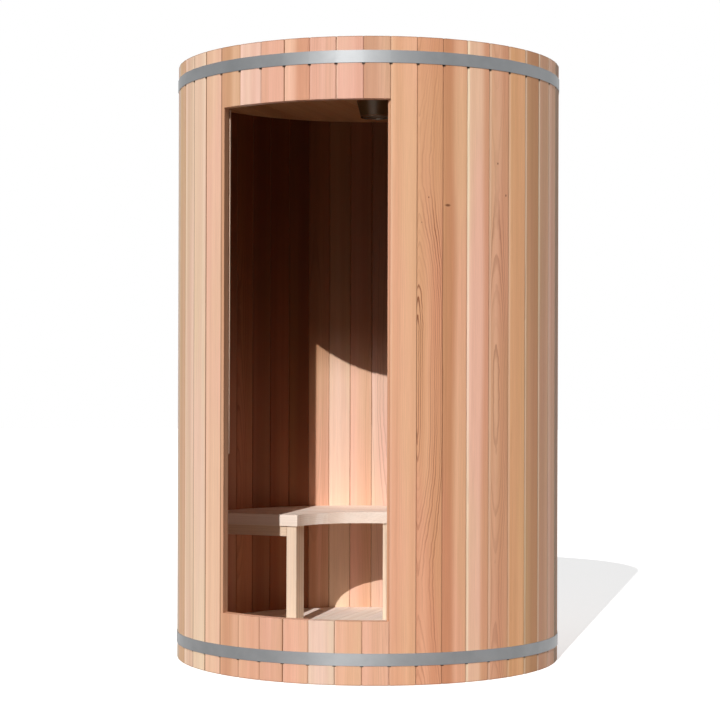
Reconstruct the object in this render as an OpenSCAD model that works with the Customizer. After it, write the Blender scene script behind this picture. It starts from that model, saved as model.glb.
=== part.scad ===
// Upright barrel sauna.
// A vertical barrel of bead-and-cove cedar staves stands on its end, held by
// two flat steel hoops. Round heads of tongued boards sit in grooves cut round
// the inside of the staves: one is the floor, the other the ceiling. A doorway
// is sawn through seven staves, and a horseshoe bench runs round the back wall.
// Millimetres. Z is up, the origin is under the middle of the barrel, and the
// doorway faces -Y. Angles round the barrel run from -Y towards +X.

/* [Barrel] */
// Distance from the axis to the flat outer face of a stave
barrel_r = 692; // [640:1:760]
// Length of a full stave
barrel_h = 2134; // [2060:1:2400]
// How many staves make the full circle
stave_count = 48; // [44:1:52]
// Thickness of a stave
stave_t = 38; // [36:1:44]
// Radius of the rounded outer corners of a stave
stave_round = 8; // [4:0.5:8.5]
// Width of the eased inner corners of a stave
stave_ease = 2.5; // [1:0.5:3]
// Width across the rounded bead on a stave edge
bead_w = 20; // [16:1:22]
// How far the bead stands out from the stave edge
bead_h = 7; // [4:0.5:8]

/* [Doorway] */
// How many staves the doorway is cut through
door_staves = 7; // [6:1:8]
// Width left standing of the stave that is notched beside the doorway
door_strip = 17; // [12:1:30]
// Height of the sawn threshold above the ground
door_sill = 210; // [170:1:300]
// Distance from the top of the staves down to the sawn door head
lintel_h = 205; // [170:1:320]

/* [Heads] */
// Thickness of the floor and ceiling boards
head_t = 38; // [30:1:44]
// Width of one board, joint to joint
board_pitch = 80; // [70:1:100]
// Height of the walking surface above the ground
floor_top = 88; // [80:1:120]
// Height of the top of the staves above the ceiling underside
rim_h = 90; // [80:1:120]
// Depth of the groove that holds a head
croze_d = 12; // [8:1:16]

/* [Hoops] */
// Height of a hoop band
hoop_w = 41; // [30:1:60]
// Thickness of a hoop band
hoop_t = 1.5; // [1:0.1:3]
// Distance from the top of the staves to the middle of the top hoop
top_hoop_drop = 67; // [50:1:120]
// Height of the middle of the bottom hoop, on average round the barrel
bottom_hoop_h = 72; // [60:1:120]
// How much higher than that the bottom hoop sits at its highest point
bottom_hoop_rise = 13; // [0:1:30]
// Direction of that highest point, in degrees round from the doorway
bottom_hoop_turn = 20; // [-90:1:90]

/* [Bench] */
// Height of the seat above the floor boards
seat_h = 410; // [360:1:450]
// Thickness of the seat boards
seat_t = 42; // [30:1:48]
// Depth of the seat at the back, from the wall to its curved front edge
seat_d = 369; // [345:1:390]
// How far the arms reach forward of the deepest point of that curve
arm_l = 265; // [230:1:280]
// Thickness of the bench legs
leg_t = 40; // [30:1:44]
// Width of a bench leg
leg_w = 80; // [70:1:100]
// Thickness and height of the rails under the arms
rail_t = 38; // [30:1:44]
// How far legs and rails stand back from the seat edge
leg_set = 6; // [3:1:12]

/* [Ceiling lamp] */
// Diameter of the lamp where it meets the ceiling
lamp_dia = 140; // [120:1:160]
// Diameter of the lamp at its lower ring
lamp_low_dia = 112; // [90:1:118]
// Height of the lamp below the ceiling
lamp_h = 62; // [40:1:80]
// Distance of the lamp behind the barrel axis
lamp_back = 82; // [0:1:120]

/* [Hidden] */
$fn = 96;
joint_gap = 0.3;
seat_gap = 0.3;
cove_gap = 0.4;
overrun = 5;
board_ease = 2;
tongue_w = 12;
tongue_l = 8;
wood_ease = 2;
round_steps = 5;
seat_boards = 4;
bearer_t = 60;
bearer_y = 360;
lap_w = 120;
lamp_rim_h = 8;
lamp_ring_w = 5;
lamp_ring_t = 4;
lamp_lens_t = 2;

pitch = 360 / stave_count;
inner_r = barrel_r - stave_t;
mid_r = barrel_r - stave_t / 2;
bead_r = (pow(bead_w / 2, 2) + pow(bead_h, 2)) / (2 * bead_h);
strip_turn = door_strip / barrel_r * 180 / PI;
door_turn = (door_staves * pitch - strip_turn) / 2;
jamb_x = barrel_r * sin(door_turn);
full_staves = stave_count - door_staves;
run = floor(full_staves / 10);
floor_low = floor_top - head_t;
ceiling_low = barrel_h - rim_h;
door_head = barrel_h - lintel_h;
head_r = inner_r + croze_d - seat_gap;
corner_x = (barrel_r - stave_round) * tan(pitch / 2) - (joint_gap / 2 + stave_round) / cos(pitch / 2);
corner_turn = 90 + pitch / 2;
hoop_r = barrel_r + seat_gap;
lamp_hole = lamp_low_dia - 2 * lamp_ring_w;
hoop_tilt = atan(bottom_hoop_rise / barrel_r);
seat_top = floor_top + seat_h;
seat_low = seat_top - seat_t;
wall_fit = inner_r - seat_gap;
leg_h = seat_h - seat_t;
seat_curve_r = wall_fit - seat_d;
arm_front = seat_curve_r - arm_l;
arm_corner = sqrt(pow(seat_curve_r, 2) - pow(arm_front, 2));
seat_board_w = (wall_fit - arm_front) / seat_boards;
leg_x = arm_corner + leg_set;
leg_y = arm_front + leg_set;
back_leg_y = seat_curve_r + leg_set;

// Shared shapes

// Half width of a stave at a distance from the axis
function stave_half(r) = r * tan(pitch / 2) - joint_gap / 2;

// Angle of the middle of a stave, counted from the right side of the doorway
function stave_turn(i) = door_turn + (i + 1 / 2) * pitch;

// Centre of the bead, in a frame whose Y axis lies in the joint
module at_bead(side) {
    rotate(side * pitch / 2)
        translate([joint_gap / 2 + bead_r - bead_h, -mid_r])
            children();
}

// Right half of the outline of a stave that faces -Y, from its outer face round
// the rounded corner to the eased inner corner; side is -1 for the left half
function stave_side(side) = [
    for (i = [0 : round_steps])
        let (turn = i * corner_turn / round_steps)
            [side * (corner_x + stave_round * sin(turn)), -barrel_r + stave_round - stave_round * cos(turn)],
    [side * stave_half(inner_r + stave_ease), -inner_r - stave_ease],
    [side * (stave_half(inner_r) - stave_ease), -inner_r]
];

// Cross-section of a stave that faces -Y: flat faces with rounded outer and
// eased inner corners, a bead on one edge and the matching cove on the other
module stave_outline() {
    left = stave_side(-1);
    difference() {
        union() {
            polygon(concat(stave_side(1), [for (i = [len(left) - 1 : -1 : 0]) left[i]]));
            at_bead(-1) circle(bead_r);
        }
        at_bead(1) circle(bead_r + cove_gap);
    }
}

// Ring that cuts the groove for a head round the inside of the staves
module croze(z) {
    translate([0, 0, z - seat_gap])
        rotate_extrude()
            translate([inner_r - overrun, 0])
                square([croze_d + overrun, head_t + 2 * seat_gap]);
}

// One stave from height z0 to z1, turned to its place in the circle
module stave(turn, z0, z1) {
    difference() {
        rotate(turn)
            translate([0, 0, z0])
                linear_extrude(z1 - z0) stave_outline();
        if (z0 < floor_low) croze(floor_low);
        if (z1 > ceiling_low) croze(ceiling_low);
    }
}

// A run of neighbouring full staves
module stave_run(first, count) {
    for (i = [first : first + count - 1])
        stave(stave_turn(i), 0, barrel_h);
}

// Corners of a ring with one flat side for each stave, r from the axis to a side
function ring_points(r) = [
    for (i = [0 : stave_count - 1])
        let (turn = door_turn + i * pitch) r / cos(pitch / 2) * [sin(turn), -cos(turn)]
];

// Ring of flat sides between two distances from the axis
module ring(r0, r1, z0, h) {
    translate([0, 0, z0])
        difference() {
            linear_extrude(h) polygon(ring_points(r1));
            translate([0, 0, -overrun]) linear_extrude(h + 2 * overrun) polygon(ring_points(r0));
        }
}

// Hoop that lies flat on each stave, with its ends lapped at the back
module band(z0, h) {
    ring(hoop_r, hoop_r + hoop_t, z0, h);
    intersection() {
        ring(hoop_r + hoop_t / 2, hoop_r + 2 * hoop_t, z0, h);
        translate([-lap_w / 2, 0, z0]) cube([lap_w, barrel_r + lap_w, h]);
    }
}

// Cross-section of one tongued and grooved board, standing in X and Z
module board_outline(w) {
    half = w / 2 - joint_gap / 2;
    top = head_t;
    mid = head_t / 2;
    difference() {
        union() {
            polygon([
                [-half + board_ease, 0], [half - board_ease, 0],
                [half, board_ease], [half, top - board_ease],
                [half - board_ease, top], [-half + board_ease, top],
                [-half, top - board_ease], [-half, board_ease]
            ]);
            translate([half - overrun, mid - tongue_w / 2])
                square([tongue_l + overrun, tongue_w]);
        }
        translate([-half - overrun, mid - tongue_w / 2 - joint_gap])
            square([tongue_l + joint_gap + overrun, tongue_w + 2 * joint_gap]);
    }
}

// Round head of boards that run from front to back
module head() {
    last = ceil(head_r / board_pitch - 1 / 2);
    for (i = [-last : last])
        intersection() {
            cylinder(h = head_t, r = head_r);
            translate([i * board_pitch, head_r, 0])
                rotate([90, 0, 0])
                    linear_extrude(2 * head_r) board_outline(board_pitch);
        }
}

// One board of the seat, counted from the front, cut to the wall and the curve
module seat_board(i) {
    translate([0, 0, seat_low])
        difference() {
            intersection() {
                cylinder(h = seat_t, r = wall_fit);
                translate([-barrel_r, arm_front + i * seat_board_w, 0])
                    cube([2 * barrel_r, seat_board_w - joint_gap, seat_t]);
            }
            translate([0, 0, -overrun]) cylinder(h = seat_t + 2 * overrun, r = seat_curve_r);
        }
}

// One arm of the seat: what the curve leaves of the front board on the side given
module seat_arm(side) {
    intersection() {
        seat_board(0);
        translate([side > 0 ? 0 : -barrel_r, -barrel_r, 0]) cube([barrel_r, 2 * barrel_r, barrel_h]);
    }
}

// Upright with eased corners, from the floor to the underside of the seat
module leg(x0, y0, w, d) {
    translate([x0, y0, floor_top + seat_gap])
        linear_extrude(leg_h - 2 * seat_gap)
            polygon([
                [wood_ease, 0], [w - wood_ease, 0],
                [w, wood_ease], [w, d - wood_ease],
                [w - wood_ease, d], [wood_ease, d],
                [0, d - wood_ease], [0, wood_ease]
            ]);
}

// Rail under the front of an arm, from its leg to the wall, on the right side
module arm_rail() {
    intersection() {
        translate([leg_x + leg_t + seat_gap, leg_y, seat_low - rail_t - seat_gap])
            cube([barrel_r, rail_t, rail_t]);
        cylinder(h = barrel_h, r = wall_fit);
    }
}

// Staves

module front_right_staves() {
    color("#cf9c70") stave_run(0, run);
}

module right_front_staves() {
    color("#c08d62") stave_run(run, run);
}

module right_middle_staves() {
    color("#b08466") stave_run(2 * run, run);
}

module right_rear_staves() {
    color("#c99a72") stave_run(3 * run, run);
}

module rear_right_staves() {
    color("#c2936b") stave_run(4 * run, run);
}

module rear_middle_staves() {
    color("#cf9f78") stave_run(5 * run, run);
}

module rear_left_staves() {
    color("#bf8f66") stave_run(6 * run, run);
}

module left_rear_staves() {
    color("#c6976e") stave_run(7 * run, run);
}

module left_middle_staves() {
    color("#bb9775") stave_run(8 * run, run);
}

module left_front_staves() {
    color("#d3a580") stave_run(9 * run, full_staves - 9 * run);
}

// Stave that the doorway is notched into, with a strip left beside the opening
module door_stave() {
    color("#cfa07b")
        difference() {
            stave(stave_turn(-door_staves), 0, barrel_h);
            translate([-jamb_x, -barrel_r - overrun, door_sill])
                cube([barrel_r, stave_t + barrel_r, door_head - door_sill]);
        }
}

module lintel_staves() {
    color("#d8a988")
        for (i = [1 : door_staves - 1])
            stave(stave_turn(-i), door_head, barrel_h);
}

module threshold_staves() {
    color("#d6a684")
        for (i = [1 : door_staves - 1])
            stave(stave_turn(-i), 0, door_sill);
}

// Hoops

module top_hoop() {
    color("#c4c6c6") band(barrel_h - top_hoop_drop - hoop_w / 2, hoop_w);
}

// The bottom hoop has slipped down at the back
module bottom_hoop() {
    tall = 2 * bottom_hoop_rise + hoop_w;
    color("#bcbdba")
        intersection() {
            band(bottom_hoop_h - tall, 2 * tall);
            translate([0, 0, bottom_hoop_h])
                rotate(bottom_hoop_turn)
                rotate([-hoop_tilt, 0, 0])
                    translate([-2 * barrel_r, -2 * barrel_r, -hoop_w / 2])
                        cube([4 * barrel_r, 4 * barrel_r, hoop_w]);
        }
}

// Floor and ceiling

module floor_boards() {
    color("#dcbd9e") translate([0, 0, floor_low]) head();
}

module ceiling_boards() {
    color("#c79a76") translate([0, 0, ceiling_low]) head();
}

// Cross bearers on the ground under the floor boards
module floor_bearers() {
    color("#b58b64")
        for (i = [-1 : 1])
            intersection() {
                translate([-barrel_r, i * bearer_y - bearer_t / 2, 0])
                    cube([2 * barrel_r, bearer_t, floor_low - seat_gap]);
                cylinder(h = barrel_h, r = wall_fit);
            }
}

// Ceiling lamp

// Tapered housing with a straight rim against the ceiling
module lamp_body() {
    color("#2a2421")
        translate([0, lamp_back, ceiling_low - lamp_h])
            difference() {
                union() {
                    cylinder(h = lamp_h - lamp_rim_h, d1 = lamp_low_dia, d2 = lamp_dia);
                    translate([0, 0, lamp_h - lamp_rim_h])
                        cylinder(h = lamp_rim_h - seat_gap, d = lamp_dia);
                }
                translate([0, 0, -overrun])
                    cylinder(h = lamp_lens_t + lamp_ring_t + overrun, d = lamp_hole);
            }
}

// Polished ring round the lower edge of the lamp
module lamp_ring() {
    color("#8b8074")
        translate([0, lamp_back, ceiling_low - lamp_h - lamp_ring_t])
            difference() {
                cylinder(h = lamp_ring_t - seat_gap, d = lamp_low_dia);
                translate([0, 0, -overrun])
                    cylinder(h = lamp_ring_t + 2 * overrun, d = lamp_hole);
            }
}

// Lens set up inside the lower end of the lamp
module lamp_lens() {
    color("#d9d6cc")
        translate([0, lamp_back, ceiling_low - lamp_h + lamp_ring_t])
            cylinder(h = lamp_lens_t - seat_gap, d = lamp_hole - 2 * seat_gap);
}

// Bench

module seat_arm_left() {
    color("#ead2bb") seat_arm(-1);
}

module seat_arm_right() {
    color("#ead2bb") seat_arm(1);
}

module seat_middle() {
    color("#e8cfb7") seat_board(1);
}

module seat_rear() {
    color("#e6ccb2") seat_board(2);
}

module seat_back() {
    color("#e9d0b8") seat_board(3);
}

module rail_left() {
    color("#e6c9ab") mirror([1, 0, 0]) arm_rail();
}

module rail_right() {
    color("#e6c9ab") arm_rail();
}

module front_leg_left() {
    color("#e8cdb2") leg(-leg_x - leg_t, leg_y, leg_t, leg_w);
}

module front_leg_right() {
    color("#e8cdb2") leg(leg_x, leg_y, leg_t, leg_w);
}

module back_leg() {
    color("#e8cdb2") leg(-leg_w / 2, back_leg_y, leg_w, leg_t);
}

front_right_staves();
right_front_staves();
right_middle_staves();
right_rear_staves();
rear_right_staves();
rear_middle_staves();
rear_left_staves();
left_rear_staves();
left_middle_staves();
left_front_staves();
door_stave();
lintel_staves();
threshold_staves();
top_hoop();
bottom_hoop();
floor_boards();
floor_bearers();
ceiling_boards();
lamp_body();
lamp_ring();
lamp_lens();
seat_arm_left();
seat_arm_right();
seat_middle();
seat_rear();
seat_back();
rail_left();
rail_right();
front_leg_left();
front_leg_right();
back_leg();
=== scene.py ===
import math

import bmesh
import bpy
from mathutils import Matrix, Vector


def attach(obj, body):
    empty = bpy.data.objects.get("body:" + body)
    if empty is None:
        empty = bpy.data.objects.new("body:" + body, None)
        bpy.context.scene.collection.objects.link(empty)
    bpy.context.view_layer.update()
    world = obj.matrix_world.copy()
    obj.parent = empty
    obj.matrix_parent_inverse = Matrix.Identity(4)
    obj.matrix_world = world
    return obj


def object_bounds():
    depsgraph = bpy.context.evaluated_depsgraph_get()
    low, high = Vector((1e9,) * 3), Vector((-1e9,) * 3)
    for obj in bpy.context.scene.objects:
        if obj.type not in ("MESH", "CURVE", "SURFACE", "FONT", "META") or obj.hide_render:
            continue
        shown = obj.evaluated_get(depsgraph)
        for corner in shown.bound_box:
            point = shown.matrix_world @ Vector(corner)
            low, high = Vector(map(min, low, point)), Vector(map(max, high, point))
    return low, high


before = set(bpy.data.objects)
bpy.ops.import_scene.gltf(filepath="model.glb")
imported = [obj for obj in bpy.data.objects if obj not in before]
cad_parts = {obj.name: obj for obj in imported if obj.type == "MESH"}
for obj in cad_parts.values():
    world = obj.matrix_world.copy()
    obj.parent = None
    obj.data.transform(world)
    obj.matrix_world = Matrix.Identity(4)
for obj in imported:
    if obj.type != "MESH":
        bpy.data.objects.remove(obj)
cad_low, cad_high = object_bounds()

# Sizes of the barrel, in metres. Turns go round it from the doorway towards +X

BARREL_R = 0.692
STAVE_COUNT = 48
STAVE_T = 0.038
PITCH = 2 * math.pi / STAVE_COUNT
STAVE_W = 2 * BARREL_R * math.tan(PITCH / 2)
RIM_Z = 2.134

# Stave 0 begins at the right edge of the doorway. JAMB_X is the sawn left jamb

DOOR_TURN = math.radians(25.546)
DOOR_HEAD = 1.929
JAMB_X = -0.2984

# Width of a floor or ceiling board, and the height its depth is measured from

BOARD_PITCH = 0.080
FLOOR_LEVEL = 0.070
CEILING_LEVEL = 2.044

# Hoops: band, outer face on a stave's flat, heights, and how far the bottom one slants.
# Two rivets hold each end of the lap at the back, set off from the middle of a flat

HOOP_W = 0.041
HOOP_T = 0.0015
HOOP_FLAT = 0.6938
TOP_HOOP_Z = 2.067
LOW_HOOP_Z = 0.072
HOOP_RISE = 0.013
HOOP_SLANT = HOOP_RISE / BARREL_R
HOOP_TURN = math.radians(20)
LAP_TURN = DOOR_TURN + 20.5 * PITCH
RIVET_SET = 0.037
RIVET_SPREAD = 0.010
RIVET_R = 0.0045
RIVET_H = 0.0009

# How far the painted shadow notches between the staves reach out from under each hoop

TOP_NOTCH = 0.009
LOW_NOTCH = 0.0045

# Bevels that ease the sawn edges

BENCH_BEVEL = 0.0035
DOOR_BEVEL = 0.0015
HOOP_BEVEL = 0.0004

# Cedar tones, from pale sapwood to brown heartwood

CEDAR = {
    "linen": "FFE3CC",
    "cream": "FDDEC7",
    "shell": "F4D3C1",
    "pearl": "E8CDBA",
    "blossom": "F7CCB4",
    "petal": "ECBEA5",
    "pink": "E5B59D",
    "rose": "E8BB9E",
    "blush": "E8B6A4",
    "apricot": "E5B392",
    "honey": "E9C19C",
    "tan": "E0AA87",
    "ochre": "EEBC8C",
    "fawn": "DFB193",
    "brown": "D2A27A",
    "dove": "D6A78D",
    "mauve": "DFAC96",
    "ash": "E2CBB7",
    "umber": "967153",
}

# Knots and pits: stave, then place across and up the stave, half width and half
# height, all in metres

KNOTS = [
    (2, -0.030, 1.583, 0.013, 0.006),
    (1, -0.007, 1.607, 0.003, 0.004),
    (1, -0.031, 1.524, 0.002, 0.003),
    (4, -0.010, 1.733, 0.004, 0.005),
    (4, 0.028, 1.628, 0.004, 0.006),
    (14, 0.012, 1.210, 0.009, 0.008),
    (22, -0.018, 0.640, 0.011, 0.009),
    (31, 0.020, 1.480, 0.010, 0.008),
]

# For each node of staves: its first stave, then for each stave in turn its tone,
# the strength and place of its brown streak (0 left edge, 1 right edge), the
# strength of its flat-sawn figure, the strength of the painted highlight on its
# left corner and how dark the seam at its right is

STAVES = {
    "front_right_staves": (0, [
        ("apricot", 0.10, 0.60, 0.05, 0.10, 0.50), ("tan", 0.35, 0.85, 1.00, 0.00, 0.40),
        ("apricot", 0.90, 0.12, 0.15, 0.05, 0.10), ("blossom", 1.00, 0.93, 0.05, 0.80, 0.40)]),
    "right_front_staves": (4, [
        ("apricot", 0.55, 0.75, 0.45, 0.35, 0.60), ("ochre", 0.30, 0.40, 0.10, 0.30, 0.50),
        ("brown", 0.50, 0.75, 0.25, 0.60, 0.35), ("fawn", 0.50, 0.35, 0.20, 1.00, 0.30)]),
    "right_middle_staves": (8, [
        ("petal", 0.45, 0.60, 0.20, 0.60, 0.30), ("umber", 0.30, 0.30, 0.30, 0.60, 0.30),
        ("tan", 0.25, 0.80, 0.15, 0.50, 0.45), ("petal", 0.30, 0.20, 0.40, 0.20, 0.60)]),
    "right_rear_staves": (12, [
        ("pink", 0.35, 0.90, 0.20, 0.30, 0.40), ("ochre", 0.50, 0.30, 0.60, 0.10, 0.70),
        ("shell", 0.20, 0.50, 0.10, 0.50, 0.30), ("brown", 0.40, 0.10, 0.30, 0.20, 0.50)]),
    "rear_right_staves": (16, [
        ("rose", 0.25, 0.60, 0.80, 0.10, 0.60), ("tan", 0.55, 0.20, 0.15, 0.40, 0.30),
        ("cream", 0.15, 0.80, 0.20, 0.20, 0.50), ("blossom", 0.35, 0.50, 0.25, 0.30, 0.40)]),
    "rear_middle_staves": (20, [
        ("shell", 0.30, 0.20, 0.20, 0.10, 0.55), ("blossom", 0.25, 0.80, 0.10, 0.50, 0.30),
        ("shell", 0.15, 0.40, 0.30, 0.20, 0.45), ("blossom", 0.30, 0.15, 0.15, 0.30, 0.35)]),
    "rear_left_staves": (24, [
        ("linen", 0.15, 0.10, 0.10, 0.20, 0.50), ("rose", 0.60, 0.85, 0.20, 0.10, 0.60),
        ("brown", 0.40, 0.30, 0.15, 0.40, 0.40), ("tan", 0.50, 0.85, 0.20, 0.20, 0.50)]),
    "left_rear_staves": (28, [
        ("fawn", 0.50, 0.50, 0.20, 0.20, 0.60), ("tan", 0.25, 0.20, 0.40, 0.50, 0.40),
        ("mauve", 0.30, 0.80, 0.15, 0.10, 0.50), ("brown", 0.45, 0.40, 0.20, 0.30, 0.45)]),
    "left_middle_staves": (32, [
        ("fawn", 0.30, 0.60, 0.20, 0.30, 0.50), ("tan", 0.50, 0.20, 0.30, 0.10, 0.60),
        ("dove", 0.20, 0.80, 0.10, 0.20, 0.40), ("ash", 0.30, 0.50, 0.25, 0.30, 0.45)]),
    "left_front_staves": (36, [
        ("ash", 0.25, 0.30, 0.10, 0.20, 0.30), ("honey", 0.25, 0.70, 0.20, 0.00, 0.25),
        ("cream", 0.35, 0.50, 0.10, 0.50, 0.80), ("linen", 0.20, 0.35, 0.10, 0.10, 1.35),
        ("blossom", 0.15, 0.90, 0.10, 0.30, 0.80)]),
    "door_stave": (41, [("rose", 0.60, 0.35, 0.10, 0.00, 0.30)]),
    "lintel_staves": (42, [
        ("shell", 0.25, 0.95, 0.05, 0.10, 0.35), ("pink", 0.10, 0.90, 0.10, 0.10, 0.75),
        ("petal", 0.80, 0.80, 0.45, 0.25, 0.10), ("blush", 0.10, 0.20, 0.10, 0.10, 0.40),
        ("blush", 0.15, 0.70, 0.10, 0.30, 0.00), ("dove", 0.35, 0.30, 0.25, 0.00, 0.10)]),
    "threshold_staves": (42, [
        ("rose", 0.20, 0.80, 0.05, 0.10, 0.35), ("pink", 0.15, 0.85, 0.10, 0.10, 0.90),
        ("petal", 0.20, 0.50, 0.05, 0.25, 0.25), ("pearl", 0.10, 0.50, 0.05, 0.10, 0.40),
        ("rose", 0.15, 0.30, 0.10, 0.30, 0.20), ("petal", 0.30, 0.60, 0.20, 0.00, 0.10)]),
}

# Pieces of the bench: tone, the axes along, across and into the board, and its seed

SEAT_TONE = "FCEEE4"
LEG_TONE = "F1DCC6"
BENCH = {
    "seat_arm_left": (SEAT_TONE, "xyz", 161.0),
    "seat_arm_right": (SEAT_TONE, "xyz", 162.0),
    "seat_middle": (SEAT_TONE, "xyz", 163.0),
    "seat_rear": (SEAT_TONE, "xyz", 164.0),
    "seat_back": (SEAT_TONE, "xyz", 165.0),
    "rail_left": (LEG_TONE, "xzy", 166.0),
    "rail_right": (LEG_TONE, "xzy", 167.0),
    "front_leg_left": (LEG_TONE, "zxy", 168.0),
    "front_leg_right": (LEG_TONE, "zxy", 169.0),
    "back_leg": (LEG_TONE, "zxy", 170.0),
}


def tone(code):
    """Linear colour of a six-figure sRGB code."""
    share = [int(code[i:i + 2], 16) / 255 for i in (0, 2, 4)]
    linear = [c / 12.92 if c <= 0.04045 else ((c + 0.055) / 1.055) ** 2.4 for c in share]
    return tuple(linear) + (1.0,)


# Tints that multiply a cedar tone, then the colours that cover it

HEARTWOOD = (0.72, 0.57, 0.46, 1.0)
LATE_WOOD = (0.34, 0.20, 0.13, 1.0)
YELLOW_CAST = (0.97, 0.99, 0.90, 1.0)
PINK_CAST = (1.03, 0.94, 0.97, 1.0)
# Painted shade of the inner faces, low and high, and beside the sun's patch
PAINTED_SHADE_LOW = (0.74, 0.60, 0.50, 1.0)
PAINTED_SHADE_HIGH = (0.30, 0.17, 0.09, 1.0)
PAINTED_SHADE_BESIDE = (0.70, 0.58, 0.48, 1.0)
NO_PAINTED_SHADE = (1.0, 1.0, 1.0, 1.0)

SEAM_DIRT = (0.26, 0.11, 0.05, 1.0)
NOTCH_SHADE = (0.030, 0.012, 0.005, 1.0)
# Colour of the painted highlight on the left corner of each stave
PAINTED_CORNER_HIGHLIGHT = tone("FFE9D0")
DARK_RIM = tone("8A5A3C")
KNOT_HEART = tone("6E3F22")


# Node helpers

class Nodes:
    """Adds and links the nodes of one tree, left to right."""

    def __init__(self, tree):
        self.tree = tree
        self.column = 0

    def add(self, kind, inputs=None, **settings):
        node = self.tree.nodes.new(kind)
        self.column += 1
        node.location = (self.column * 180, 0)
        for name, value in settings.items():
            setattr(node, name, value)
        for key, value in (inputs or {}).items():
            self.put(node.inputs[key], value)
        return node

    def put(self, socket, value):
        if isinstance(value, bpy.types.NodeSocket):
            self.tree.links.new(value, socket)
        else:
            socket.default_value = value

    def group(self, tree, inputs=None):
        return self.add("ShaderNodeGroup", inputs, node_tree=tree).outputs

    def surface(self, inputs):
        """Principled shader as the surface of the material."""
        shader = self.add("ShaderNodeBsdfPrincipled", inputs)
        self.add("ShaderNodeOutputMaterial", {"Surface": shader.outputs[0]})

    def math(self, operation, *values):
        node = self.add("ShaderNodeMath", dict(enumerate(values)), operation=operation)
        return node.outputs[0]

    def chain(self, operation, first, *others):
        for other in others:
            first = self.math(operation, first, other)
        return first

    def plus(self, *values):
        return self.chain("ADD", *values)

    def times(self, *values):
        return self.chain("MULTIPLY", *values)

    def largest(self, *values):
        return self.chain("MAXIMUM", *values)

    def minus(self, first, second):
        return self.math("SUBTRACT", first, second)

    def over(self, first, second):
        return self.math("DIVIDE", first, second)

    def distance(self, x, y):
        square = self.plus(self.math("POWER", x, 2.0), self.math("POWER", y, 2.0))
        return self.math("SQRT", square)

    def grow(self, value, low, high, start=0.0, end=1.0):
        """Smooth step from one number to another while a value goes from low to high."""
        node = self.add("ShaderNodeMapRange", {
            "Value": value, "From Min": low, "From Max": high,
            "To Min": start, "To Max": end}, interpolation_type="SMOOTHSTEP")
        return node.outputs["Result"]

    def fade(self, value, low, high, start=1.0, end=0.0):
        return self.grow(value, low, high, start, end)

    def spot(self):
        """The point being shaded, in metres in the object's frame."""
        return self.add("ShaderNodeTexCoord").outputs["Object"]

    def split(self, vector):
        return self.add("ShaderNodeSeparateXYZ", {0: vector}).outputs

    def join(self, x, y, z):
        return self.add("ShaderNodeCombineXYZ", {"X": x, "Y": y, "Z": z}).outputs[0]

    def turn(self, x, y):
        """Turn round the barrel from the doorway towards +X, in radians."""
        return self.math("ARCTAN2", x, self.times(y, -1.0))

    def vector(self, operation, *values):
        return self.add("ShaderNodeVectorMath", dict(enumerate(values)), operation=operation)

    def noise(self, vector, scale, detail=2.0, roughness=0.5):
        node = self.add("ShaderNodeTexNoise", {
            "Vector": vector, "Scale": scale, "Detail": detail, "Roughness": roughness})
        return node.outputs["Fac"]

    def shares(self, colour):
        """The red, green and blue of a colour as three numbers."""
        return self.add("ShaderNodeSeparateColor", {"Color": colour}).outputs

    def chance(self, seed):
        """Three random numbers from 0 to 1 that belong to a seed."""
        node = self.add("ShaderNodeTexWhiteNoise", {"W": seed}, noise_dimensions="1D")
        return self.shares(node.outputs["Color"])

    def mix(self, share, low, high, blend="MIX"):
        node = self.add("ShaderNodeMix", data_type="RGBA", blend_type=blend)
        self.put(node.inputs["Factor"], share)
        self.put(node.inputs["A"], low)
        self.put(node.inputs["B"], high)
        return node.outputs["Result"]

    def tint(self, base, colour, share=1.0):
        return self.mix(share, base, colour, "MULTIPLY")

    def steps(self, share, colours):
        """Ramp with one flat step for each colour."""
        node = self.add("ShaderNodeValToRGB", {"Fac": share})
        ramp = node.color_ramp
        ramp.interpolation = "CONSTANT"
        while len(ramp.elements) < len(colours):
            ramp.elements.new(1.0)
        for i, colour in enumerate(colours):
            ramp.elements[i].position = i / len(colours)
            ramp.elements[i].color = colour
        return node.outputs["Color"]


NUMBER = "NodeSocketFloat"
COLOUR = "NodeSocketColor"
DIRECTION = "NodeSocketVector"


def new_group(name, inputs, outputs):
    tree = bpy.data.node_groups.new(name, "ShaderNodeTree")
    for socket, kind, value in inputs:
        item = tree.interface.new_socket(socket, in_out="INPUT", socket_type=kind)
        item.default_value = value
    for socket, kind in outputs:
        tree.interface.new_socket(socket, in_out="OUTPUT", socket_type=kind)
    nodes = Nodes(tree)
    entry = nodes.add("NodeGroupInput")
    return tree, nodes, list(entry.outputs)[:len(inputs)]


def finish_group(nodes, results):
    nodes.add("NodeGroupOutput", results)


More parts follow.
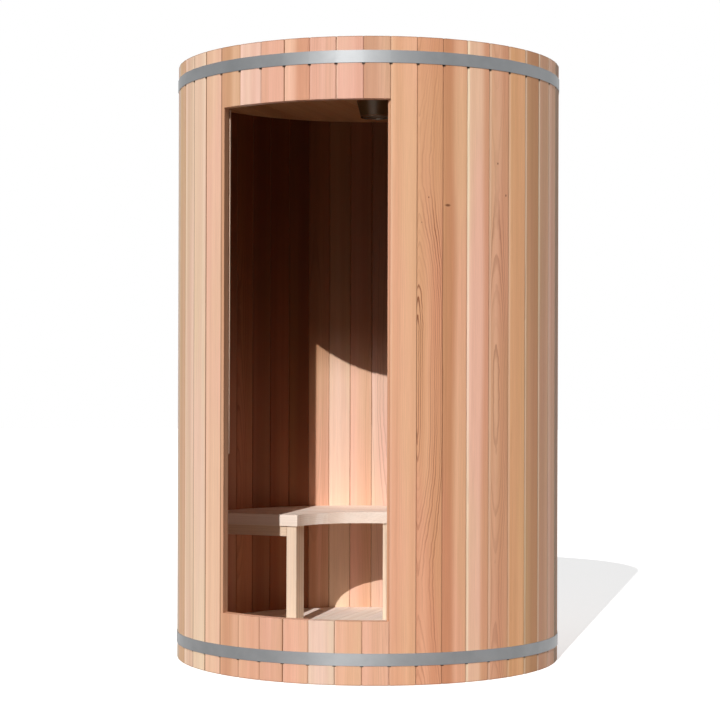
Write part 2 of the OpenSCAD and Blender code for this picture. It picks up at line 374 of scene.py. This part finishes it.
def stave_place_group():
    """Where a point lies on its stave: across, along and below its flat face, in metres."""
    tree, n, _ = new_group("Stave place", [], [
        ("Across", NUMBER), ("Along", NUMBER), ("Depth", NUMBER), ("Stave", NUMBER),
        ("Joint", NUMBER), ("Under hoop", NUMBER), ("Facing", DIRECTION)])
    x, y, z = n.split(n.spot())
    count = n.over(n.minus(n.turn(x, y), DOOR_TURN), PITCH)
    whole = n.math("FLOOR", count)
    slip = n.times(HOOP_SLANT, n.minus(
        n.times(x, math.sin(HOOP_TURN)), n.times(y, math.cos(HOOP_TURN))))
    under = []
    for height, reach in ((n.minus(z, TOP_HOOP_Z), TOP_NOTCH),
                          (n.minus(n.minus(z, slip), LOW_HOOP_Z), LOW_NOTCH)):
        below = n.grow(height, -HOOP_W / 2 - reach, -HOOP_W / 2 - 0.002)
        under.append(n.times(below, n.fade(height, HOOP_W / 2 - 0.001, HOOP_W / 2)))
    lean = n.times(n.minus(n.minus(count, whole), 0.5), PITCH)
    radius = n.distance(x, y)
    across = n.times(radius, n.math("SINE", lean))
    out = n.times(radius, n.math("COSINE", lean))
    edge = n.times(out, math.tan(PITCH / 2))
    all_staves = float(STAVE_COUNT)
    middle = n.plus(n.times(n.plus(whole, 0.5), PITCH), DOOR_TURN)
    finish_group(n, {
        "Across": across, "Along": z, "Depth": n.minus(BARREL_R, out),
        "Stave": n.math("MODULO", n.plus(whole, all_staves), all_staves),
        "Joint": n.minus(edge, n.math("ABSOLUTE", across)),
        "Under hoop": n.largest(*under),
        "Facing": n.join(n.math("SINE", middle), n.times(n.math("COSINE", middle), -1.0), 0.0)})
    return tree


def wood_figure_group():
    """Growth rings, broad bands and fibres of one board, sawn from its own log."""
    tree, n, given = new_group("Wood figure", [
        ("Across", NUMBER, 0.0), ("Along", NUMBER, 0.0), ("Depth", NUMBER, 0.0),
        ("Board", NUMBER, 0.0), ("Ring width", NUMBER, 0.003), ("Flat sawn", NUMBER, 0.3),
        ("Heart", NUMBER, 0.0)], [
        ("Rings", NUMBER), ("Bands", NUMBER), ("Fibres", NUMBER), ("Drift", NUMBER)])
    across, along, depth, board, ring_width, flat, heart = given
    red, green, blue = n.chance(n.plus(board, 0.37))
    shift = n.times(red, 40.0)
    lengthwise = n.plus(along, shift)

    def sway(wide, long):
        """Noise about 0 with its own pace across and along the board."""
        spot = n.join(n.times(across, wide), shift, n.times(lengthwise, long))
        return n.minus(n.noise(spot, 1.0, 2.0), 0.5)

    # The log's heart lies under a flat-sawn board and beside a quarter-sawn one
    side = n.plus(heart, n.times(n.minus(green, 0.5), n.minus(0.5, n.times(flat, 0.47))))
    below = n.plus(0.03, n.times(blue, 0.05))
    # The log swells and dips under the board, which draws the flames of its figure
    swell = n.math("SINE", n.plus(
        n.times(n.minus(along, 1.35), 4.5), n.times(n.minus(board, 1.0), 2.1)))
    rise = n.times(n.times(flat, flat), n.times(swell, 0.040))
    slow = n.noise(n.join(shift, green, n.times(lengthwise, 0.45)), 1.0, 1.0)
    wander = n.times(n.minus(slow, 0.5), 0.06)
    ripple = n.plus(n.times(sway(9.0, 1.1), n.plus(0.006, n.times(flat, 0.012))),
                    n.times(sway(30.0, 18.0), n.times(flat, 0.0060)))
    u = n.plus(across, side, ripple)
    v = n.plus(depth, below, rise, n.plus(wander, ripple))
    # Each ring darkens slowly into its late wood and ends sharply
    count = n.over(n.distance(u, v), ring_width)
    part = n.math("FRACT", count)
    grain = n.noise(n.join(count, n.times(lengthwise, 0.8), shift), 0.7, 2.0)
    rings = n.times(n.grow(part, 0.40, 0.90), n.fade(part, 0.92, 1.0),
                    n.grow(grain, 0.38, 0.62, 0.10, 1.0))
    broad = n.noise(n.join(n.plus(n.times(u, 30.0), shift), n.times(v, 10.0),
                           n.times(lengthwise, 0.35)), 1.0, 2.0, 0.4)
    fibres = n.noise(n.join(n.times(across, 420.0), n.times(depth, 420.0),
                            n.times(lengthwise, 7.0)), 1.0, 3.0, 0.6)
    drift = n.noise(n.join(n.plus(n.times(across, 6.0), shift), depth,
                           n.times(lengthwise, 0.8)), 1.0, 2.0)
    finish_group(n, {
        "Rings": rings, "Bands": n.grow(broad, 0.36, 0.64), "Fibres": fibres, "Drift": drift})
    return tree


def wood_colour_group():
    """Colour, roughness and height of planed softwood from its figure."""
    tree, n, given = new_group("Wood colour", [
        ("Tone", COLOUR, (0.8, 0.6, 0.4, 1.0)), ("Rings", NUMBER, 0.0), ("Bands", NUMBER, 0.0),
        ("Fibres", NUMBER, 0.5), ("Drift", NUMBER, 0.5), ("Streak", NUMBER, 0.3),
        ("Figure", NUMBER, 0.3), ("Grime", NUMBER, 0.0), ("Cast", NUMBER, 0.8)], [
        ("Colour", COLOUR), ("Roughness", NUMBER), ("Height", NUMBER)])
    base, rings, bands, fibres, drift, streak, figure, grime, cast = given
    heart = n.tint(base, HEARTWOOD)
    banded = n.mix(n.times(bands, 0.30), base, heart)
    streaked = n.mix(streak, banded, heart)
    hue = n.mix(n.grow(drift, 0.36, 0.64), YELLOW_CAST, PINK_CAST)
    blush = n.tint(streaked, hue, cast)
    shown = n.times(rings, n.plus(0.08, n.times(figure, 0.92)))
    ringed = n.mix(shown, blush, n.tint(blush, LATE_WOOD))
    value = n.grow(fibres, 0.25, 0.75, 0.94, 1.05)
    fibred = n.tint(ringed, n.join(value, value, value))
    finish_group(n, {
        "Colour": n.mix(grime, fibred, SEAM_DIRT),
        "Roughness": n.plus(0.52, n.times(fibres, 0.16), n.times(grime, 0.3)),
        "Height": n.minus(n.times(fibres, 0.6), n.times(rings, n.plus(0.2, figure)))})
    return tree


def brushed_group():
    """Fine lines of a brushed or wiped finish, broad clouds and fine dust."""
    tree, n, (pace,) = new_group("Brushed lines", [("Pace", NUMBER, 3000.0)], [
        ("Lines", NUMBER), ("Cloud", NUMBER), ("Dust", NUMBER)])
    spot = n.spot()
    x, y, z = n.split(spot)
    streaks = n.join(n.times(n.turn(x, y), 22.0), 0.0, n.times(z, pace))
    finish_group(n, {
        "Lines": n.noise(streaks, 1.0, 3.0, 0.7), "Cloud": n.noise(spot, 9.0, 4.0, 0.6),
        "Dust": n.noise(spot, 90.0, 2.0, 0.7)})
    return tree


STAVE_PLACE = stave_place_group()
WOOD_FIGURE = wood_figure_group()
WOOD_COLOUR = wood_colour_group()
BRUSHED = brushed_group()


# Materials

def new_material(name):
    made = bpy.data.materials.new(name)
    made.use_nodes = True
    made.node_tree.nodes.clear()
    return made, Nodes(made.node_tree)


def planed_wood(n, place, board, base, streak, figure, grime, ring_width=0.003, bump=0.25,
                weight=None, heart=0.0, normal=None, cast=0.2):
    """Principled wood from a place on a board and its tone."""
    cut = n.group(WOOD_FIGURE, {
        "Across": place["Across"], "Along": place["Along"], "Depth": place["Depth"],
        "Board": board, "Ring width": ring_width, "Flat sawn": figure, "Heart": heart})
    look = n.group(WOOD_COLOUR, {
        "Tone": base, "Rings": cut["Rings"], "Bands": cut["Bands"], "Fibres": cut["Fibres"],
        "Drift": cut["Drift"], "Streak": streak,
        "Figure": figure if weight is None else weight, "Grime": grime, "Cast": cast})
    relief = n.add("ShaderNodeBump", {
        "Strength": bump, "Distance": 0.0012, "Height": look["Height"]})
    if normal is not None:
        n.put(relief.inputs["Normal"], normal)
    n.surface({"Base Color": look["Colour"], "Roughness": look["Roughness"],
               "Normal": relief.outputs[0], "Specular IOR Level": 0.32})


def knot_mask(n, place, knots):
    """Dark heart of each knot, 1 in the middle and 0 at its rim."""
    total = 0.0
    for stave, across, along, wide, high in knots:
        away = n.distance(n.over(n.minus(place["Across"], across), wide),
                          n.over(n.minus(place["Along"], along), high))
        here = n.math("COMPARE", place["Stave"], float(stave), 0.4)
        total = n.largest(total, n.times(n.fade(away, 0.35, 1.0), here))
    return total


def turned_normal(n, target, low, high, share):
    """Normal turned by a share towards a target, where it already leans that way."""
    plain = n.add("ShaderNodeNewGeometry").outputs["Normal"]
    same = n.vector("DOT_PRODUCT", plain, target).outputs["Value"]
    blend = n.add("ShaderNodeMix", data_type="VECTOR")
    n.put(blend.inputs["Factor"], n.times(n.grow(same, low, high), share))
    n.put(blend.inputs[4], plain)
    n.put(blend.inputs[5], target)
    return n.vector("NORMALIZE", blend.outputs[1]).outputs[0]


def inner_painted_shade(n, along, stave):
    """Tint of the inner faces: painted shade, deepest near the ceiling and beside the sun's
    patch, and a painted patch of sunlight on the lower part of those at the back."""
    deep = n.mix(n.grow(along, 0.2, 1.9), PAINTED_SHADE_LOW, PAINTED_SHADE_HIGH)
    beside = n.times(n.grow(stave, 25.2, 25.8), n.fade(stave, 28.2, 28.8))
    deep = n.tint(deep, PAINTED_SHADE_BESIDE, beside)
    painted_sun_patch = n.times(n.fade(along, 0.98, 1.25), n.times(
        n.grow(stave, 16.0, 17.0), n.fade(stave, 25.2, 25.8)))
    # Painted shade under the seat, but for the patch at the right that the sun reaches
    shaded = n.times(n.fade(along, 0.42, 0.46, 0.25), n.grow(stave, 19.5, 20.5))
    return n.mix(n.times(painted_sun_patch, n.minus(1.0, shaded)), deep, NO_PAINTED_SHADE)


def stave_cedar(name, first, staves):
    """Cedar of the staves of one node, each with its own tone, streak, figure and wear."""
    made, n = new_material("cedar " + name.replace("_", " "))
    place = n.group(STAVE_PLACE)
    across, along = place["Across"], place["Along"]
    depth, joint, stave = place["Depth"], place["Joint"], place["Stave"]
    tones, strengths, streak_places, figures, corner_highlights, seams = zip(*staves)
    share = n.over(n.plus(n.minus(stave, float(first)), 0.5), float(len(staves)))
    base = n.steps(share, [tone(CEDAR[key]) for key in tones])
    strength, where, figure = n.shares(n.steps(share, [
        traits + (1.0,) for traits in zip(strengths, streak_places, figures)]))
    rub_and_highlight, dark, _ = n.shares(n.steps(share, [
        highlight_and_seam + (0.0, 1.0) for highlight_and_seam in zip(corner_highlights, seams)]))
    # The streak runs down the stave, a hand's width or less, and wanders a little
    sway = n.noise(n.join(stave, 3.7, n.times(along, 0.8)), 1.0, 1.0)
    middle = n.plus(where, n.times(n.minus(sway, 0.5), 0.5))
    off = n.minus(n.plus(n.over(across, STAVE_W), 0.5), middle)
    streak = n.times(strength, n.fade(n.math("ABSOLUTE", off), 0.16, 0.46))
    # Outer corners: the left one gets a painted highlight, and dirt lies in the seam at the right
    left = n.fade(across, -0.001, 0.001)
    corner = n.times(n.fade(joint, 0.0045, 0.0075), n.times(left, n.fade(depth, 0.006, 0.010)))
    rubbed_and_highlit = n.mix(n.times(corner, rub_and_highlight), base, PAINTED_CORNER_HIGHLIGHT)
    outer_seam = n.times(n.minus(1.0, left), n.times(dark, n.times(
        n.fade(joint, 0.0012, 0.0042), n.fade(depth, 0.014, 0.020))))
    inner_seam = n.times(n.fade(joint, 0.0004, 0.0018, 0.6), n.grow(depth, 0.033, 0.0345))
    # Painted shade and the painted patch of sunlight on the inner faces
    wood = n.tint(rubbed_and_highlit, inner_painted_shade(n, along, stave), n.grow(depth, 0.030, 0.037))
    # Painted shadow: dark notches where the hoops shade the grooves between the corners
    notch = n.times(place["Under hoop"], n.fade(joint, 0.0035, 0.0080),
                    n.fade(depth, 0.012, 0.020))
    wood = n.mix(notch, wood, NOTCH_SHADE)
    # Darker along the top and bottom rims of the staves
    ends = n.largest(n.grow(along, RIM_Z - 0.0035, RIM_Z - 0.0010), n.fade(along, 0.001, 0.0035))
    wood = n.mix(n.times(ends, 0.55), wood, DARK_RIM)
    knots = [knot for knot in KNOTS if first <= knot[0] < first + len(staves)]
    if knots:
        mask = n.times(knot_mask(n, place, knots), n.fade(depth, 0.010, 0.020, 0.85))
        wood = n.mix(mask, wood, KNOT_HEART)
    # Flat-sawn figure has wider rings and shows least near the top
    flat = n.times(figure, figure)
    planed_wood(
        n, place, stave, wood, streak, figure, n.largest(outer_seam, inner_seam),
        ring_width=n.plus(0.003, n.times(flat, 0.0040)), bump=0.30,
        weight=n.times(figure, n.fade(along, 1.48, 1.66, 1.0, 0.2),
                       n.grow(along, 0.30, 0.90, 0.4, 1.0)),
        heart=n.times(flat, 0.055), cast=0.8,
        normal=turned_normal(n, place["Facing"], 0.10, 0.40, 0.75))
    return made


def board_cedar(name, tones, streak, figure, level, seed):
    """Wood of boards that run along Y side by side, each between two tones."""
    made, n = new_material(name)
    x, y, z = n.split(n.spot())
    count = n.plus(n.over(x, BOARD_PITCH), 0.5)
    whole = n.math("FLOOR", count)
    offset = n.times(n.minus(n.minus(count, whole), 0.5), BOARD_PITCH)
    joint = n.minus(BOARD_PITCH / 2, n.math("ABSOLUTE", offset))
    place = {"Across": offset, "Along": y, "Depth": n.minus(z, level)}
    board = n.plus(whole, seed)
    red, green, _ = n.chance(board)
    base = n.mix(n.times(red, 0.8), tone(tones[0]), tone(tones[1]))
    planed_wood(n, place, board, base, n.times(green, streak), figure,
                n.fade(joint, 0.0003, 0.0016, 0.4))
    return made


def single_board(name, base, streak, figure, axes, seed):
    """Wood of one piece. The axes are those along, across and into it."""
    made, n = new_material(name)
    way = dict(zip("xyz", n.split(n.spot())))
    along, across, deep = [way[axis] for axis in axes]
    place = {"Across": across, "Along": along, "Depth": deep}
    planed_wood(n, place, seed, tone(base), streak, figure, 0.0, ring_width=0.004, bump=0.15)
    return made


def brushed_steel(name, colour, stain, roughness):
    """Steel band brushed along its length and bent round the barrel, with a trace of flats."""
    made, n = new_material(name)
    lines = n.group(BRUSHED, {"Pace": 2600.0})
    stained = n.grow(lines["Cloud"], 0.35, 0.75, 0.0, 0.45)
    level = n.vector("MULTIPLY", n.spot(), (1.0, 1.0, 0.0)).outputs[0]
    outward = n.vector("NORMALIZE", level).outputs[0]
    relief = n.add("ShaderNodeBump", {
        "Strength": 0.10, "Distance": 0.0002, "Height": lines["Lines"],
        "Normal": turned_normal(n, outward, 0.80, 0.95, 0.85)})
    n.surface({
        "Base Color": n.mix(stained, tone(colour), tone(stain)),
        "Roughness": n.plus(roughness, n.times(n.minus(lines["Lines"], 0.5), 0.16)),
        "Metallic": 1.0, "Anisotropic": 0.5, "Anisotropic Rotation": 0.25,
        "Normal": relief.outputs[0]})
    return made


def satin_finish(name, colour, rub_and_highlight, roughness, metallic=0.0):
    """Smooth finish of a lamp piece, a little worn and dusty."""
    made, n = new_material(name)
    lines = n.group(BRUSHED, {"Pace": 60.0})
    rubbed_and_highlit = n.grow(lines["Cloud"], 0.45, 0.8, 0.0, 0.5)
    n.surface({
        "Base Color": n.mix(rubbed_and_highlit, tone(colour), tone(rub_and_highlight)),
        "Roughness": n.plus(roughness, n.times(n.minus(lines["Dust"], 0.5), 0.15)),
        "Metallic": metallic})
    return made


def dress(node, material):
    """Puts a material on a CAD node."""
    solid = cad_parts[node]
    solid.data.materials.clear()
    solid.data.materials.append(material)


def soften(node, width):
    """Eases the sawn edges of a CAD node with a narrow bevel."""
    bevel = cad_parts[node].modifiers.new("eased edges", "BEVEL")
    bevel.width = width
    bevel.segments = 2
    bevel.limit_method = "ANGLE"
    bevel.angle_limit = math.radians(40)


for node, (first, staves) in STAVES.items():
    dress(node, stave_cedar(node, first, staves))
for node in ("door_stave", "lintel_staves", "threshold_staves"):
    soften(node, DOOR_BEVEL)

dress("floor_boards", board_cedar(
    "pale floor boards", ("FFF6EE", "FDEFE4"), 0.10, 0.12, FLOOR_LEVEL, 60.0))
dress("ceiling_boards", board_cedar(
    "ceiling boards", ("DFAE7C", "D09C6C"), 0.35, 0.15, CEILING_LEVEL, 90.0))
dress("floor_bearers", single_board("floor bearers", "CFA67E", 0.3, 0.5, "xyz", 151.0))

for node, (base, axes, seed) in BENCH.items():
    dress(node, single_board("bench " + node.replace("_", " "), base, 0.08, 0.20, axes, seed))
    soften(node, BENCH_BEVEL)

hoop_steel = brushed_steel("brushed hoop steel", "8A8C8E", "76797B", 0.54)
for node in ("top_hoop", "bottom_hoop"):
    dress(node, hoop_steel)
    soften(node, HOOP_BEVEL)

dress("lamp_body", satin_finish("dark lamp paint", "735838", "816444", 0.40))
dress("lamp_ring", satin_finish("lamp ring metal", "B8AEA2", "C9C0B4", 0.25, 0.9))
dress("lamp_lens", satin_finish("frosted lamp lens", "8A7A6C", "988878", 0.35))


# Small pieces: rivets in the laps of the hoops and the lip on the left door jamb

def mesh_piece(name, shape, material):
    """Makes an object from a bmesh and lets it ride on the barrel."""
    mesh = bpy.data.meshes.new(name)
    bmesh.ops.recalc_face_normals(shape, faces=shape.faces)
    shape.to_mesh(mesh)
    shape.free()
    mesh.materials.append(material)
    piece = bpy.data.objects.new(name, mesh)
    bpy.context.scene.collection.objects.link(piece)
    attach(piece, "root")


def dome(shape, centre, outward, radius, height, rings=4, sides=20):
    """Low domed rivet head on a face."""
    sideways = outward.cross(Vector((0.0, 0.0, 1.0))).normalized()
    upright = sideways.cross(outward).normalized()
    rows = []
    for ring in range(rings):
        lift = math.radians(90 * ring / rings)
        row = []
        for side in range(sides):
            turn = 2 * math.pi * side / sides
            rim = sideways * math.cos(turn) + upright * math.sin(turn)
            row.append(shape.verts.new(
                centre + outward * (height * math.sin(lift)) + radius * math.cos(lift) * rim))
        rows.append(row)
    top = shape.verts.new(centre + outward * height)
    for low, high in zip(rows, rows[1:]):
        for side in range(sides):
            after = (side + 1) % sides
            shape.faces.new((low[side], low[after], high[after], high[side])).smooth = True
    for side in range(sides):
        shape.faces.new((rows[-1][side], rows[-1][(side + 1) % sides], top)).smooth = True


def hoop_rivets(name, middle_z, slant):
    """Two rivets at each end of the lap at the back of a hoop."""
    shape = bmesh.new()
    for step in (-1, 1):
        turn = LAP_TURN + step * PITCH
        outward = Vector((math.sin(turn), -math.cos(turn), 0.0))
        along = Vector((math.cos(turn), math.sin(turn), 0.0))
        spot = outward * (HOOP_FLAT + HOOP_T) - along * (step * RIVET_SET)
        slip = slant * (spot.x * math.sin(HOOP_TURN) - spot.y * math.cos(HOOP_TURN))
        for rise in (-RIVET_SPREAD, RIVET_SPREAD):
            centre = Vector((spot.x, spot.y, middle_z + rise + slip))
            dome(shape, centre, outward, RIVET_R, RIVET_H)
    mesh_piece(name, shape, hoop_steel)


def jamb_lip(name, material):
    """Slim strip on the inner arris of the left jamb, thickest at the door head."""
    inner_y = -math.sqrt((BARREL_R - STAVE_T) ** 2 - JAMB_X ** 2)
    near, far = inner_y + 0.001, inner_y + 0.007
    sunk = JAMB_X - 0.0005
    shape = bmesh.new()
    rows = []
    for z, thick in ((DOOR_HEAD - 0.002, 0.0022), (1.20, 0.0014), (0.75, 0.0003)):
        face = JAMB_X + thick
        rows.append([shape.verts.new((x, y, z)) for x, y in (
            (sunk, near), (face, near), (face, far), (sunk, far))])
    for low, high in zip(rows, rows[1:]):
        for i in range(4):
            after = (i + 1) % 4
            shape.faces.new((low[i], low[after], high[after], high[i]))
    shape.faces.new(rows[0])
    shape.faces.new(rows[-1])
    mesh_piece(name, shape, material)


hoop_rivets("top_hoop_rivets", TOP_HOOP_Z, 0.0)
hoop_rivets("bottom_hoop_rivets", LOW_HOOP_Z, HOOP_SLANT)
jamb_lip("jamb_lip_left", single_board("jamb lip wood", "E6C9B4", 0.1, 0.2, "zxy", 181.0))


# Light, floor and camera

def grey(value):
    return (value, value, value, 1.0)


def background_rays(n):
    """1 for the rays that show the pale background: to the eye, in metal and through glass."""
    path = n.add("ShaderNodeLightPath").outputs
    return n.largest(path["Is Camera Ray"], n.largest(
        path["Is Glossy Ray"], path["Is Transmission Ray"]))


def world_light(front, side, rear):
    """White background. The soft light is weak in front, where the key is, and fuller behind."""
    world = bpy.data.worlds.new("studio")
    world.use_nodes = True
    world.node_tree.nodes.clear()
    n = Nodes(world.node_tree)
    way = n.add("ShaderNodeTexCoord").outputs["Generated"]
    back = n.split(way)[1]
    soft = n.mix(n.grow(back, -0.85, -0.1), grey(front), grey(side))
    soft = n.mix(n.grow(back, 0.25, 0.85), soft, grey(rear))
    colour = n.mix(background_rays(n), soft, grey(1.0))
    backdrop = n.add("ShaderNodeBackground", {"Color": colour, "Strength": 1.0})
    n.add("ShaderNodeOutputWorld", {"Surface": backdrop.outputs[0]})
    bpy.context.scene.world = world


def studio_floor(radius=30.0, gap=0.0005):
    """Round pale floor, just below the barrel. Its glow is for the background rays only."""
    mesh = bpy.data.meshes.new("studio_floor")
    shape = bmesh.new()
    bmesh.ops.create_circle(shape, cap_ends=True, segments=96, radius=radius)
    shape.to_mesh(mesh)
    shape.free()
    floor = bpy.data.objects.new("studio_floor", mesh)
    bpy.context.scene.collection.objects.link(floor)
    made, n = new_material("pale studio floor")
    seen = background_rays(n)
    pale = n.mix(n.noise(n.spot(), 3.0, 3.0), grey(0.80), grey(0.82))
    n.surface({
        "Base Color": n.mix(seen, (0.24, 0.23, 0.22, 1.0), pale),
        "Roughness": 0.9, "Specular IOR Level": 0.1,
        "Emission Color": grey(1.0), "Emission Strength": n.times(seen, 0.42)})
    mesh.materials.append(made)
    floor.location.z = cad_low.z - gap


def studio_camera():
    """Camera fitted to the photo. Its focal length was found in pixels of a 720 frame."""
    lens = bpy.data.cameras.new("camera")
    lens.sensor_width = 36.0
    lens.lens = 1790.8 / 720 * lens.sensor_width
    lens.shift_x = 0.04
    lens.shift_y = 0.0272
    lens.clip_end = 200.0
    camera = bpy.data.objects.new("camera", lens)
    camera.location = (2.187, -6.197, 1.004)
    camera.rotation_euler = (math.radians(90.009), -0.003, math.radians(20.604))
    bpy.context.scene.collection.objects.link(camera)
    bpy.context.scene.camera = camera


def key_light(turn, lift, strength, spread):
    """Sun-like key. Its turn round the barrel, lift above the floor and spread are in degrees."""
    lamp = bpy.data.lights.new("key", "SUN")
    lamp.energy = strength
    lamp.angle = math.radians(spread)
    lamp.color = (1.0, 0.985, 0.96)
    holder = bpy.data.objects.new("key", lamp)
    level, rise = math.radians(turn), math.radians(lift)
    away = Vector((math.sin(level) * math.cos(rise), -math.cos(level) * math.cos(rise),
                   math.sin(rise)))
    holder.rotation_euler = away.to_track_quat("Z", "Y").to_euler()
    bpy.context.scene.collection.objects.link(holder)


world_light(front=0.06, side=0.48, rear=1.0)
studio_floor()
studio_camera()
key_light(turn=5.5, lift=34.2, strength=3.35, spread=0.35)

bpy.context.scene.view_settings.view_transform = "Standard"
